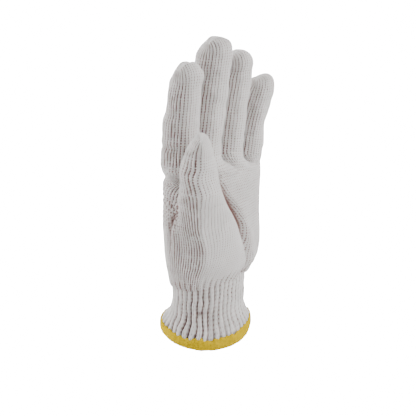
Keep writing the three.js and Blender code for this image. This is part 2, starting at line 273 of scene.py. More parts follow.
# Folds of the stalls, and corners, which have a depth below 0: share of the rise, share of
# the way round from the thumb's side by the front, spread, depth, height
FINGER_FOLDS = {
    "index_stall": (
        (0.17, 0.0, 0.16, 1.3, 1.8), (0.24, 0.02, 0.14, -0.6, 2.4), (0.5, 0.95, 0.12, 0.9, 3.0),
        (0.8, 0.12, 0.1, 0.5, 3.0), (0.88, 0.36, 0.12, -2.4, 7.0),
    ),
    "middle_stall": (
        (0.7, 0.02, 0.13, 1.2, 2.6), (0.62, 0.02, 0.12, -0.7, 3.0), (0.4, 0.1, 0.12, 0.7, 3.0),
        (0.88, 0.3, 0.1, 0.6, 2.5),
    ),
    "ring_stall": (
        (0.8, 0.1, 0.14, 1.3, 2.0), (0.72, 0.05, 0.13, -0.7, 3.0), (0.45, 0.15, 0.12, 0.6, 3.0),
    ),
    "little_stall": (
        (0.28, 0.03, 0.15, 1.2, 2.0), (0.6, 0.1, 0.13, 0.8, 2.4), (0.84, 0.5, 0.09, -2.8, 3.6),
        (0.7, 0.5, 0.09, 0.8, 3.5),
    ),
}

# The heel of the palm, where it hangs over the cuff: side and spread in degrees, depth, and the
# heights between which it comes out and goes in again
HEEL_SIDE = -42.0
HEEL_SPREAD = 42.0
HEEL_LIP = 2.8
HEEL_OUT = (50.5, 58.5)
HEEL_IN = (62.0, 92.0)

# The web between the thumb and the index finger: its heights and places from front to back,
# its hollow and the height and pitch of its ripples
WEB_HEIGHTS = (96.0, 118.0)
WEB_PLACES = (-17.0, 4.0)
WEB_HOLLOW = 1.0
WEB_RIPPLE = 0.6
WEB_PITCH = 3.6

# Folds of the hand. On the front they lie across x and on the thumb's side across y, and a
# fold with a depth below 0 is a roll: height, place, depth, width
FRONT_FOLDS = (
    (
        (50.0, 11.5, 3.4, 2.6), (62.0, 12.0, 3.6, 2.6), (76.0, 11.3, 4.8, 3.0),
        (88.0, 7.5, 5.6, 3.4), (97.0, 2.2, 5.4, 3.6), (105.0, -2.0, 4.6, 3.2),
        (111.0, -5.2, 3.6, 2.8), (118.0, -8.8, 2.8, 2.4), (125.0, -12.2, 2.2, 2.2),
        (132.0, -13.4, 1.4, 2.2), (138.0, -13.6, 0.0, 2.2),
    ),
    (
        (54.0, 20.0, -1.4, 4.0), (76.0, 18.5, -1.6, 4.0), (97.0, 9.5, -1.5, 4.0),
        (112.0, -0.5, -0.8, 4.0), (125.0, -8.0, 0.0, 4.0),
    ),
    (
        (66.0, 4.0, 0.0, 4.5), (80.0, 4.5, -0.6, 4.5), (97.0, -4.5, -0.7, 4.5),
        (112.0, -16.0, -0.5, 4.0), (120.0, -22.0, 0.0, 4.0),
    ),
)
SIDE_FOLDS = (
    (
        (68.0, -3.0, 0.0, 2.0), (77.0, -5.0, 1.4, 2.0), (86.0, -5.8, 2.2, 1.8),
        (93.0, -7.4, 2.4, 1.8), (101.0, -10.0, 2.2, 1.8), (109.0, -15.0, 0.8, 1.8),
        (114.0, -18.0, 0.0, 1.8),
    ),
    (
        (64.0, -9.0, 0.0, 3.0), (78.0, -10.5, -1.3, 3.0), (93.0, -13.0, -1.5, 3.0),
        (104.0, -17.0, 0.0, 3.0),
    ),
)

# The material of each slot
YARNS = {"cotton_knit": "Cotton knit", "overlock_yarn": "Overlock yarn"}

# A yarn's look: how much of the painted groove shade's colour shows, how much patches dim it, and its
# sheen
COTTON_LOOK = (0.95, 0.1, 0.15)
OVERLOCK_LOOK = (0.8, 0.12, 0.0)
OVERLOCK_SHADE = 0.55  # of the thread's colour, down between two threads

# The photograph's viewpoint in millimetres and pixels
IMAGE = 416
FOCAL = 995.0
EYE = (-520.1, -468.3, 322.0)
AIM = (0.0, 0.0, 108.0)
AIM_AT = (206.0, 193.0)
SENSOR = 36.0

# Softboxes: metres to the camera's right, towards it and up, size, and share of the power
SOFTBOXES = {
    "Key light": (0.95, 0.3, 0.4, (0.8, 0.9), 1.0),
    "Fill light": (-0.95, 0.05, 0.3, (0.8, 0.9), 1.0),
    "Top light": (0.0, 0.0, 1.1, (0.9, 0.9), 0.5),
}
FLOOR_SIZE = 8.0
FLOOR_GAP = 0.001
FLOOR_GLOW = 16.0  # only the camera sees it, and the backdrop
BACKDROP = 80.0
SKY = 0.2  # the world as light

FULL = 2 * math.pi
ROUND = np.linspace(0, FULL, 1441)
RANDOM = np.random.RandomState(7)
WAVES = RANDOM.normal(size=(24, 3))
WAVES /= np.linalg.norm(WAVES, axis=1, keepdims=True)
WAVE_TURNS = RANDOM.uniform(0, FULL, 24)


def mix(a, b, share):
    return a + (b - a) * share


def smooth(value, low, high):
    """0 below low, 1 above high and a soft step between them."""
    t = np.clip((np.asarray(value, float) - low) / (high - low), 0, 1)
    return t * t * (3 - 2 * t)


def row_at(table, value):
    """The columns of a table, after its first, run smoothly to any value of the first."""
    rows = np.array(table, float)
    value = np.asarray(value, float)
    i = np.clip(np.searchsorted(rows[:, 0], value, side="right") - 1, 0, len(rows) - 2)
    a, b = rows[i], rows[i + 1]
    before = rows[np.maximum(i - 1, 0)]
    after = rows[np.minimum(i + 2, len(rows) - 1)]
    span = b[..., :1] - a[..., :1]
    t = np.clip((value[..., None] - a[..., :1]) / span, 0, 1)
    leave = (b - before) / (b[..., :1] - before[..., :1]) * span
    arrive = (after - a) / (after[..., :1] - a[..., :1]) * span
    bulge = t * (1 - t) ** 2 * leave - t * t * (1 - t) * arrive
    return np.moveaxis(mix(a, b, t * t * (3 - 2 * t)) + bulge, -1, 0)[1:]


def oval(angle, half_width, half_depth, power, turn=0.0):
    """Points of a squared oval round the origin."""
    c, s = np.cos(angle), np.sin(angle)
    size = (np.abs(c) ** power + np.abs(s) ** power) ** (-1 / power)
    x, y = half_width * c * size, half_depth * s * size
    turn = np.radians(turn)
    return x * np.cos(turn) - y * np.sin(turn), x * np.sin(turn) + y * np.cos(turn)


def run_of(points):
    """Distance along a line of points, from its first."""
    steps = np.linalg.norm(np.diff(points, axis=0), axis=1)
    return np.concatenate([[0.0], np.cumsum(steps)])


def along(points, run, at):
    """Points of a line at the given distances along it."""
    return np.stack([np.interp(at, run, points[:, k]) for k in range(3)], -1)


def tilt_at(x, y, tilt, side):
    side = math.radians(side)
    return tilt * (x * math.cos(side) + y * math.sin(side)) / WRIST_WIDTH


def finger_x(name):
    names = list(FINGERS)
    before = sum(FINGERS[n][0] for n in names[: names.index(name)])
    return before + (FINGERS[name][0] - PALM_WIDTH) / 2


CROTCHES = tuple((finger_x(name), FINGERS[name][2]) for name in FINGERS)


def crotch_drop(x):
    return row_at(CROTCHES, x)[0]


def palm_level(x, y, rise):
    """Height of the palm's course at a share of its rise, over x and y."""
    tilted = np.maximum(0, 1 - rise / TILT_FADE)
    dropped = np.maximum(0, 1 - (1 - rise) / CROTCH_FADE)
    lift = tilt_at(x, y, CUFF_TILT, CUFF_TILT_SIDE) * tilted - crotch_drop(x) * dropped
    return mix(CUFF_TOP, PALM_TOP, rise) + lift


def palm_size(rise):
    width, depth, across, out = row_at(PALM_SHAPE, rise)
    half_width = mix(WRIST_WIDTH, PALM_WIDTH - FINGER_GAP, width) / 2
    half_depth = mix(WRIST_DEPTH, PALM_DEPTH, depth) / 2
    return half_width, half_depth, PALM_WIDTH * across, -PALM_LEAN * out


def palm_curve(rise, angle):
    half_width, half_depth, across, out = palm_size(rise)
    x, y = oval(angle, half_width, half_depth, PALM_POWER)
    x, y = x + across, y + out
    return np.stack([x, y, palm_level(x, y, rise)], -1)


def thumb_section(height, angle, across=1.0, deep=1.0):
    """Points of the thumb at heights above the cuff's top, narrowed by a share each way."""
    x0, y0, width, depth, turn = row_at(THUMB_SHAPE, height / THUMB_RISE)
    half_width = THUMB_WIDTH * width / 2 * across
    half_depth = THUMB_DEPTH * depth / 2 * deep * mix(0.7, 1.0, smooth(height, -2, 14))
    x, y = oval(angle, half_width, half_depth, THUMB_POWER, turn)
    return x + PALM_WIDTH * x0, y + PALM_DEPTH * y0


def thumb_on_level(rise, angle):
    """The thumb's section where it crosses the palm's course."""
    height = np.full(angle.shape, mix(0.0, PALM_HEIGHT, rise))
    for _ in range(4):
        x, y = thumb_section(height, angle)
        z = palm_level(x, y, rise)
        height = z - CUFF_TOP
    return np.stack([x, y, z], -1)


def hand_row(rise):
    """One course of the hand: the thumb's arc outside the palm and the palm's arc outside the
    thumb, with the palm's angles at its ends. None where the thumb stands free, and False
    where it is all inside the palm."""
    half_width, half_depth, across, out = (float(n) for n in palm_size(rise))

    def field(points):
        wide = np.abs((points[..., 0] - across) / half_width) ** PALM_POWER
        return wide + np.abs((points[..., 1] - out) / half_depth) ** PALM_POWER

    thumb = thumb_on_level(rise, ROUND[:-1])
    outside = field(thumb) > 1
    if outside.all():
        return None
    starts = np.where(outside & ~np.roll(outside, 1))[0]
    if len(starts) == 0:
        return False
    size = len(thumb)
    lengths = [int(np.argmin(np.roll(outside, -start))) for start in starts]
    count, start = max(zip(lengths, starts))
    arc = thumb[(start + np.arange(-1, count + 1)) % size]
    for end, beside in ((0, 1), (-1, -2)):
        low, high = arc[end].copy(), arc[beside].copy()
        for _ in range(20):
            middle = (low + high) / 2
            low, high = (low, middle) if field(middle) > 1 else (middle, high)
        arc[end] = high
    turns = []
    for point in (arc[-1], arc[0]):
        x, y = (point[0] - across) / half_width, (point[1] - out) / half_depth
        turns.append(math.atan2(y, x) % FULL)
    first, last = turns[0], turns[1] + (FULL if turns[1] < turns[0] else 0.0)
    palm = palm_curve(rise, np.linspace(first, last, len(ROUND)))
    palm[0], palm[-1] = arc[-1], arc[0]
    return arc, palm, first, last


def soften(loop, width):
    """A closed loop, evenly spaced and with its corners rounded over a width."""
    pitch = 0.25
    run = run_of(loop)
    count = int(run[-1] / pitch)
    even = along(loop, run, np.arange(count) * run[-1] / count)
    reach = int(4 * width / pitch)
    weights = np.exp(-0.5 * (np.arange(-reach, reach + 1) * pitch / width) ** 2)
    weights /= weights.sum()
    wrapped = np.vstack([even[-reach:], even, even[:reach]])
    even = np.stack([np.convolve(wrapped[:, k], weights, "valid") for k in range(3)], -1)
    return np.vstack([even, even[:1]])


def sample(loop, at):
    """Points and tangents of a closed loop at shares of its length, which may pass 0 or 1."""
    run = np.linspace(0, 1, len(loop))
    step = 1 / (len(loop) - 1)
    ahead = along(loop, run, np.mod(at + step, 1))
    return along(loop, run, np.mod(at, 1)), ahead - along(loop, run, np.mod(at - step, 1))


def closed_tangents(points):
    ahead = np.roll(points[..., :-1, :], -1, axis=-2) - np.roll(points[..., :-1, :], 1, axis=-2)
    return np.concatenate([ahead, ahead[..., :1, :]], axis=-2)


def outward(points, tangents):
    """Outward normals of rows of points that go anticlockwise, each row above the last."""
    out = np.cross(tangents, np.gradient(points, axis=0))
    return out / np.maximum(np.linalg.norm(out, axis=-1, keepdims=True), 1e-9)


def stitch(side, v):
    """How high the yarn stands, 0 to 1, away from the middle of a wale: each stitch is two
    legs that part as they rise."""
    best = np.zeros(np.broadcast(side, v).shape)
    for course in (-1, 0, 1):
        t = v - np.floor(v) - course
        middle = mix(LEG_FOOT, LEG_HEAD, np.clip((t - LEAN_START) / LEAN_RUN, 0, 1))
        ends = np.clip(1 - ((t - LEG_MIDDLE) / LEG_REACH) ** 2, 0, 1)
        leg = np.clip(1 - ((side - middle) / LEG_WIDTH) ** 2, 0, 1)
        best = np.maximum(best, np.sqrt(leg * ends))
    return best


def unevenness(points, lumps):
    """Soft noise, with lumps of the given height and size in millimetres."""
    height, size = lumps
    total = np.zeros(points.shape[:-1])
    for i, (wave, turn) in enumerate(zip(WAVES, WAVE_TURNS)):
        total += np.sin(points @ wave * (FULL / (size * (0.75 + 0.06 * i))) + turn)
    return height * total / 5.0


def knit(points, out, u, v, wale_split, fade=1.0, slack=1.0, gaps=1.0):
    """Points raised into stitches, and how light each one is once painted shade darkens it down in
    its grooves and holes. Where the cloth is slack its wales stand further out, and take deeper
    painted shade, than where it is stretched. gaps says how dark the painted shade in its holes is."""
    look = bpy.context.scene.glove_knit
    width = np.linalg.norm(np.gradient(points, axis=1), axis=-1) * wale_split
    u = u + unevenness(points + 40.0, WALE_WANDER)
    v = v + unevenness(points, COURSE_WANDER)
    side = np.abs(u - np.floor(u) - 0.5)
    beat = np.cos(FULL * (v - HOLE_COURSE))
    slack = slack * (1 + unevenness(points, SLACK_LUMPS) + unevenness(points, SLACK_SPECKS))
    hollow = (1 - np.sqrt(1 - WALE_ARC * side**2)) * (1 + look.bridges * beat)
    yarn = stitch(side * (0.9 + 0.35 * np.clip(slack - 0.8, 0, 1)), v)
    groove = ((1 - yarn) * mix(0.7, 1.15, slack) + look.roundness * hollow * slack) * fade
    depth = look.relief * np.clip(width, *WALE_LIMITS) * (groove - 0.5 * slack * fade)
    # Painted shade: the yarn darkens with the depth of its groove, and in dots at the holes between
    # stitches
    beat = 0.5 + 0.5 * beat
    holes = look.holes * gaps * smooth(side, *HOLE_SIDE) * beat**1.5 * fade
    even = mix(1.0, 0.4, gaps) + 0.6 * gaps * np.clip(slack - 1, 0, 1)
    shade = look.shade * groove * mix(even, 1.0, beat) + holes
    return points - out * depth[..., None], 1 - np.clip(shade, 0, 1)


def bump(value, low, high, edge):
    """1 between low and high, 0 outside, with soft edges."""
    return smooth(value, low - edge, low + edge) * (1 - smooth(value, high - edge, high + edge))


def from_side(turn, side, spread):
    """How far a turn is from a side given in degrees, in spreads."""
    return (np.mod(np.degrees(turn) - side + 180, 360) - 180) / spread


def folds(points, out):
    """How far the hand's folds draw the cloth in."""
    x, y, z = (points[..., k] for k in range(3))
    depth = np.zeros(x.shape)
    for lines, place, facing in (
        (FRONT_FOLDS, x, smooth(-out[..., 1], 0.1, 0.5)),
        (SIDE_FOLDS, y, smooth(-out[..., 0], 0.1, 0.5)),
    ):
        for line in lines:
            middle, deep, width = row_at(line, z)
            depth += deep * np.exp(-(((place - middle) / width) ** 2)) * facing
    web = bump(z, *WEB_HEIGHTS, 5) * bump(y, *WEB_PLACES, 4) * smooth(-out[..., 0], 0.3, 0.7)
    ripple = np.sin((z + 0.9 * y) * FULL / WEB_PITCH + unevenness(points, (2.2, 14.0)))
    depth += web * (WEB_HOLLOW + WEB_RIPPLE * ripple)
    away = from_side(np.arctan2(y + PALM_LEAN, x), HEEL_SIDE, HEEL_SPREAD)
    lip = smooth(z, *HEEL_OUT) * (1 - smooth(z, *HEEL_IN))
    return depth - HEEL_LIP * lip * np.exp(-(away**4))


def faces(a, b):
    """Quads between each two neighbours of a row and the two beside them in the next."""
    return np.stack([a[..., :-1], a[..., 1:], b[..., 1:], b[..., :-1]], -1).reshape(-1, 4)


def skin(outer, inner, relief, uv, kept, slit=None, top=False):
    """Points, faces, UV and relief, which is how light painted shade leaves it, of a wall between
    rows outside and the kept ones of the rows inside. slit gives the rows between which its two side
    edges stand apart."""
    rows, columns = outer.shape[:2]
    a = np.arange(rows * columns).reshape(rows, columns)
    b = rows * columns + np.arange(len(kept) * columns).reshape(len(kept), columns)
    quads = [faces(a[:-1], a[1:]), faces(b.T[:-1], b.T[1:]), faces(b[0], a[0])]
    if top:
        quads.append(faces(a[-1], b[-1]))
    if slit is not None:
        span = [i for i, row in enumerate(kept) if slit[0] <= row <= slit[1]]
        for i, j in zip(span[:-1], span[1:]):
            r, s = kept[i], kept[j]
            quads.append(np.array([[a[r, 0], a[s, 0], b[j, 0], b[i, 0]]]))
            quads.append(np.array([[a[s, -1], a[r, -1], b[i, -1], b[j, -1]]]))
    points = np.vstack([outer.reshape(-1, 3), inner[kept].reshape(-1, 3)])
    uv = np.vstack([uv.reshape(-1, 2), uv[kept].reshape(-1, 2)])
    return points, np.vstack(quads), uv, np.concatenate([relief.ravel(), relief[kept].ravel()])


def make_piece(name, parts, slot, nodes):
    """One closed mesh from parts whose shared edges are merged."""
    points = np.vstack([part[0] for part in parts]) * MM
    offsets = np.cumsum([0] + [len(part[0]) for part in parts])
    quads = np.vstack([part[1] + offset for part, offset in zip(parts, offsets)])
    uv = np.vstack([part[2] for part in parts])
    relief = np.concatenate([part[3] for part in parts])
    mesh = bpy.data.meshes.new(name)
    mesh.vertices.add(len(points))
    mesh.vertices.foreach_set("co", points.astype(np.float32).ravel())
    mesh.loops.add(quads.size)
    mesh.loops.foreach_set("vertex_index", quads.astype(np.int32).ravel())
    mesh.polygons.add(len(quads))
    mesh.polygons.foreach_set("loop_start", np.arange(0, quads.size, 4, dtype=np.int32))
    corners = uv[quads.ravel()].astype(np.float32)
    mesh.uv_layers.new(name="Knit").data.foreach_set("uv", corners.ravel())
    # The relief attribute: how light each point is once painted shade, and on the hem a tone that
    # differs from thread to thread, darkens it
    height = mesh.attributes.new("relief", "FLOAT", "POINT")
    height.data.foreach_set("value", relief.astype(np.float32))
    mesh.update(calc_edges=True)
    piece = bpy.data.objects.new(name, mesh)
    bpy.context.scene.collection.objects.link(piece)
    bpy.ops.object.select_all(action="DESELECT")
    piece.select_set(True)
    bpy.context.view_layer.objects.active = piece
    bpy.ops.object.mode_set(mode="EDIT")
    bpy.ops.mesh.select_all(action="SELECT")
    bpy.ops.mesh.remove_doubles(threshold=3e-6)
    bpy.ops.object.mode_set(mode="OBJECT")
    bpy.ops.object.shade_smooth_by_angle(angle=math.radians(80))
    mesh.materials.append(bpy.data.materials[YARNS[slot]])
    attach(piece, "root")
    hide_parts(*nodes)


def finger_section(name, height, angle, across=1.0, deep=1.0):
    """Points of a stall at heights above its seam, narrowed by a share each way."""
    width, depth, _, rise, lean, bow, taper = FINGERS[name]
    share = np.maximum(height, 0) / rise
    wide, thick, narrower = row_at(STALL_SHAPE, share)
    half_width = (width * wide - taper * narrower - FINGER_GAP) / 2
    half_depth = (depth * thick - taper * narrower) / 2
    x, y = oval(angle, half_width, half_depth, FINGER_POWER)
    middle = finger_x(name) + lean * share**LEAN_POWER
    return x * across + middle, y * deep - PALM_LEAN - bow * share**BOW_POWER


def finger_turns(name, share):
    """Angles at shares of the way round a stall's seam, from the thumb's side by the front."""
    x, y = finger_section(name, np.zeros(len(ROUND)), ROUND + math.pi)
    run = run_of(np.stack([x, y, x * 0], -1))
    return np.interp(np.asarray(share) * run[-1], run, ROUND + math.pi)


def tip_rows(count):
    """For each row of a closed tip, how far it still reaches across and how deep it still is.
    The last row is a line, at which the front wales meet the back ones."""
    for i in range(1, count + 1):
        turn = i / count * math.pi / 2
        yield mix(TIP_LINE, 1.0, math.cos(turn)), math.cos(turn) ** 0.8 if i < count else 0.0


def tip_fade(order, course_split):
    """1, and 0 at the last row, so that the relief ends before a tip's closing line."""
    return 1 - smooth(order, order[-1] - TIP_CLOSE * course_split, order[-1])


def tip_lift(across, deep, power, edge=0.5):
    """How high a dome is, as a share of its height, at shares of its foot's outline. With an
    edge above a half it is sharper across its closing line."""
    wide, thick = np.abs(across) ** power, np.abs(deep) ** power
    radius = wide + thick
    falls = mix(0.5, edge, thick / np.maximum(radius, 1e-6))
    return np.clip(1 - radius ** (DOME_POWER / power), 0, 1) ** falls


def finger_rows(name, angle):
    """Rows of a stall at angles round it, from the crotches to its closed tip."""
    width, _, crotch, rise, *_ = FINGERS[name]
    dome = FINGER_DOME * width
    foot = rise - dome
    seam_x, _ = finger_section(name, np.zeros(len(angle)), angle)
    start = crotch - crotch_drop(seam_x)
    body = round(foot / COURSE) * FINGER_SPLIT[1]
    tip = round(dome * TIP_RUN / COURSE) * FINGER_SPLIT[1]
    rows = []
    for i in range(body + 1):
        height = mix(start, foot, i / body)
        x, y = finger_section(name, height, angle)
        rows.append(np.stack([x, y, height], -1))
    unit_x, unit_y = oval(angle, 1.0, 1.0, FINGER_POWER)
    for across, deep in tip_rows(tip):
        height = foot + dome * tip_lift(unit_x * across, unit_y * deep, FINGER_POWER)
        x, y = finger_section(name, height, angle, across, deep)
        rows.append(np.stack([x, y, height], -1))
    return np.array(rows)


def make_finger(name):
    """One finger stall."""
    wale_split, course_split = FINGER_SPLIT
    u = np.linspace(0, FINGER_WALES, FINGER_WALES * wale_split + 1)
    points = finger_rows(name, finger_turns(name, u / FINGER_WALES))
    folded = finger_folds(name, u, points[..., 2])
    points[..., 2] += PALM_TOP - FINGERS[name][2]
    out = outward(points, closed_tangents(points))
    order = np.arange(len(points))[:, None]
    fade = tip_fade(order, course_split)
    v = order / course_split
    swell = unevenness(points, STALL_LUMPS) + unevenness(points, STALL_DIMPLES)
    swell = (swell - folded) * fade * smooth(order, 0, 16)
    points = points + out * swell[..., None]
    slack = stall_slack(u / FINGER_WALES)[None, :]
    if name == "index_stall":
        turn = u[None, :] / FINGER_WALES
        # Slacker knit, partly painted shade, in the gap behind the thumb
        behind = bump(turn, -0.03, 0.2, 0.05) + bump(turn, 0.94, 1.1, 0.04)
        slack = slack + INDEX_SLACK_AND_SHADE * behind * (1 - smooth(points[..., 2], 150, 172))
    raised, relief = knit(points, out, u[None, :], v, wale_split, fade, slack)
    raised[:, -1] = raised[:, 0]
    kept = sorted(set(range(0, len(points), course_split * 3)) | {len(points) - 1})
    inner = points - out * YARN_WALL
    inner[-1] = points[-1] - np.array([0, 0, YARN_WALL])
    uv = np.stack(np.broadcast_arrays(u[None, :], v), -1)
    part = skin(raised, inner, relief, uv, kept)
    make_piece(name.replace("stall", "knit"), [part], "cotton_knit", [name])


def finger_folds(name, u, height):
    """How far a stall's folds draw it in, at wales and at heights above its seam."""
    depth = np.zeros(height.shape)
    for rise, side, spread, deep, tall in FINGER_FOLDS[name]:
        away = (np.mod(u / FINGER_WALES - side + 0.5, 1) - 0.5) / spread
        across = (height - rise * FINGERS[name][3]) / tall
        depth += deep * np.exp(-(away**2)[None, :] - across**2)
    return depth


def palm_seat(u):
    """The palm's top edge, which is the stalls' seams end to end."""
    names = list(FINGERS)
    half = PALM_WALES / 8
    wale = (u - THUMB_WALES) / half
    points = np.zeros(wale.shape + (3,))
    for i, name in enumerate(names):
        front = (wale >= i) & (wale <= i + 1)
        back = (wale >= 7 - i) & (wale <= 8 - i)
        share = np.where(front, wale - i, wale - 6 + i) / 2
        x, y = finger_section(name, np.zeros(wale.shape), finger_turns(name, share))
        points[front | back] = np.stack([x, y, x * 0], -1)[front | back]
    return points


def thumb_rows(u, height, start):
    """Rows of the free thumb from a height above the cuff to its tip."""
    course_split = THUMB_SPLIT[1]
    dome = THUMB_DOME * THUMB_WIDTH
    foot = THUMB_RISE - dome - 1.8
    body = round((foot - height) / COURSE) * course_split
    tip = round(dome * TIP_RUN / COURSE) * course_split
    rows = []
    for i in range(1, body + 1):
        at = mix(height, foot, i / body)
        turn = mix(start, math.pi / 2, float(smooth(i, 0, 9 * course_split)))
        narrow = 1 - 0.2 * float(smooth(at, foot - 14, foot + 2))
        x, y = thumb_section(np.full(len(ROUND), at), turn + ROUND, narrow)
        loop = np.stack([x, y, np.full(len(x), CUFF_TOP + at)], -1)
        run = run_of(loop)
        ridge = row_at(RIDGE, at / PALM_HEIGHT)[0]
        ends = np.interp(u, [0, RIDGE_WALE, THUMB_WALES], [0, ridge * run[-1], run[-1]])
        rows.append(along(loop, run, ends))
        angle = np.interp(ends, run, turn + ROUND)
    unit_x, unit_y = oval(angle, 1.0, 1.0, THUMB_POWER)
    for across, deep in tip_rows(tip):
        at = foot + dome * tip_lift(unit_y * across, unit_x * deep, THUMB_POWER, 0.9)
        x, y = thumb_section(at, angle, deep * narrow, across)
        rows.append(np.stack([x, y, at + CUFF_TOP], -1))
    return rows


def joined_row(rise, ulnar, wrist):
    """One course of the palm with the ball of the thumb: the loop, how far along it the marked
    wales are, the share of it at which the ulnar wale is at the wrist, and the turn and the
    point between the thumb's two edges. None above the thumb's crotch."""
    found = hand_row(rise)
    if found is None:
        return None
    if found is False:
        first = math.radians(240)
        loop = palm_curve(rise, first + ROUND)
        run = run_of(loop)
        anchors = [0, 0, 0, np.interp(ulnar - first, ROUND, run), run[-1]]
        return loop, anchors, np.interp(wrist - first, ROUND, run) / run[-1], (None, None)
    arc, palm, first, last = found
    arc_run, palm_run = run_of(arc)[-1], run_of(palm)
    to_ulnar = np.interp([ulnar, wrist], np.linspace(first, last, len(palm)), palm_run)
    ridge = arc_run * float(row_at(RIDGE, rise)[0])
    anchors = [0, ridge, arc_run, arc_run + to_ulnar[0], arc_run + palm_run[-1]]
    pinch = (first + last - FULL) / 2, (arc[0] + arc[-1]) / 2
    return np.vstack([arc, palm[1:]]), anchors, (arc_run + to_ulnar[1]) / anchors[-1], pinch


def palm_row(wales, rise, start, ulnar):
    """One course of the palm above the thumb's crotch, drawn in to the stalls' seams."""
    loop = palm_curve(rise, start + ROUND)
    run = run_of(loop)
    marks = [THUMB_WALES, ULNAR_WALE, HAND_WALES]
    at = np.interp(wales, marks, [0, np.interp(ulnar - start, ROUND, run), run[-1]])
    seat = palm_seat(wales)
    seat[:, 2] = palm_level(seat[:, 0], seat[:, 1], rise)
    return mix(along(loop, run, at), seat, float(smooth(rise, SEAT_START, 1.0)) ** 1.2)


def thumb_start(point):
    """The height and the turn, in the thumb's own section, at which it comes free."""
    height = point[2] - CUFF_TOP
    x0, y0, _, _, turn = (float(n) for n in row_at(THUMB_SHAPE, height / THUMB_RISE))
    x, y = point[0] - PALM_WIDTH * x0, point[1] - PALM_DEPTH * y0
    return height, (math.atan2(y, x) - math.radians(turn)) % FULL


def hand_rows():
    """Wales, base points and outward normals of the palm, of the ball of the thumb at the
    palm's split and of the thumb at its own, and the last row that joins them."""
    count = PALM_COURSES * PALM_SPLIT[1]
    u = {
        "palm": np.linspace(THUMB_WALES, HAND_WALES, PALM_WALES * PALM_SPLIT[0] + 1),
        "ball": np.linspace(0, THUMB_WALES, THUMB_WALES * PALM_SPLIT[0] + 1),
        "thumb": np.linspace(0, THUMB_WALES, THUMB_WALES * THUMB_SPLIT[0] + 1),
    }
    points = {key: [] for key in u}
    tangents = {key: [] for key in u}
    marks = [0, RIDGE_WALE, THUMB_WALES, ULNAR_WALE, HAND_WALES]
    wrist = math.radians(ULNAR_TURN) + FULL
    pinch = None
    for r in range(count + 1):
        rise = r / count
        ulnar = math.radians(PALM_TWIST) * (1 - float(smooth(rise, TWIST_START, 1.0))) + FULL
        joined = joined_row(rise, ulnar, wrist) if pinch is None else None
        if joined is None:
            pinch = r - 1 if pinch is None else pinch
            start = mix(pinch_turn, math.pi, float(smooth(rise, pinch / count, 1.0)))
            row = palm_row(u["palm"], rise, start, ulnar)
            points["palm"].append(row)
            tangents["palm"].append(closed_tangents(row))
            continue
        loop, anchors, level, (pinch_turn, pinch_point) = joined
        loop = soften(loop, mix(*CORNERS, float(smooth(rise, *CORNER_RISES))))
        for key, wale in u.items():
            split = np.interp(wale, marks, anchors) / anchors[-1]
            even = level + (wale - ULNAR_WALE) / HAND_WALES
            row, ahead = sample(loop, mix(even, split, float(smooth(rise, 0.0, 0.5))))
            points[key].append(row)
            tangents[key].append(ahead)
    free = thumb_rows(u["thumb"], *thumb_start(pinch_point))
    points["thumb"] += free
    tangents["thumb"] += [closed_tangents(row) for row in free]
    points = {key: np.array(rows) for key, rows in points.items()}
    out = {key: outward(points[key], np.array(tangents[key])) for key in u}
    return u, points, out, pinch


def rib_groove(u):
    """How deep the groove between two ribs is, 0 to 1. A rib is two wales wide, and the third
    lies in the groove."""
    away = np.mod(u / RIB_WALES, 1) - 5 / 6
    return np.exp(-((away / 0.12) ** 2)) + 0.18 * np.cos(FULL * away)


def stall_slack(turn):
    """How slack a stall's knit is, and so how deep its painted groove shade is, at shares of the way
    round it.
    """
    turn = np.mod(turn + 0.25, 1) - 0.25
    thumb_side_slack_and_shade = STALL_SLACK_AND_SHADE * bump(turn, -0.1, 0.13, 0.05)
    return STALL_SLACK + thumb_side_slack_and_shade - STALL_TIGHTER * bump(turn, 0.19, 0.42, 0.05)


def to_stalls(u, rise):
    """The palm's wales, which fan out below the crotches to become the stalls' wales, and how
    far they have, with the share of the way round its stall at which each one is."""
    half = PALM_WALES / 8
    wale = (u - THUMB_WALES) / half
    part = np.clip(np.floor(wale), 0, 7)
    ends = (wale - part) * FINGER_WALES / 2
    ends = ends + np.round(THUMB_WALES + half * (part + 0.5) - FINGER_WALES / 4)
    share = np.where(part < 4, wale - part, wale - part + 1) / 2
    fan = smooth(rise, FAN_START, 1.0)
    return mix(u, ends, fan), fan, share


def hand_slack(u, points, folded):
    """How slack the hand's knit is, and so how deep its painted groove shade is, at wales and points.
    """
    z = points[..., 2]
    near = bump(u, -1.0, RIDGE_WALE - 0.5, 0.8) + bump(u, HAND_WALES - 3, HAND_WALES + 3, 1.5)
    face = bump(u, RIDGE_WALE + 0.5, THUMB_WALES + 1, 1.2)
    roll = bump(u, THUMB_WALES + 3, THUMB_WALES + 12, 2.0) * (1 - smooth(z, 112, 130))
    behind = bump(u, HAND_WALES - 14, HAND_WALES + 1, 2.5) * smooth(z, 104, 118)
    slack = HAND_SLACK + NEAR_SLACK_AND_SHADE * near - FACE_TIGHTER * face
    slack = slack + ROLL_SLACKER * roll + BEHIND_SLACK_AND_SHADE * behind
    return slack * (1 - FOLD_TIGHTER * np.clip(folded, 0, 5))


def hand_arch(u, v):
    """1 where the cuff's ribs run on into the hand and 0 above, where they end in arches."""
    end = 6.2 + 1.6 * np.sin(np.floor(u / RIB_WALES) * 1.7)
    return 1 - smooth(v, 1.0, end)


def thumb_swell(u, z, fade):
    """How far the ridge and the fuller near side of the thumb stand out."""
    ridge = np.exp(-np.sqrt((u - RIDGE_WALE) ** 2 + 0.16) / 1.9)
    beside = bump(u, FULL_WALES, RIDGE_WALE - FULL_WALES, FULL_WALES)
    swell = THUMB_RIDGE * smooth(z, *RIDGE_HEIGHTS) * fade * (ridge - 0.25)
    return swell + THUMB_FULLNESS * beside * bump(z, *FULL_HEIGHTS, FULL_EDGE)


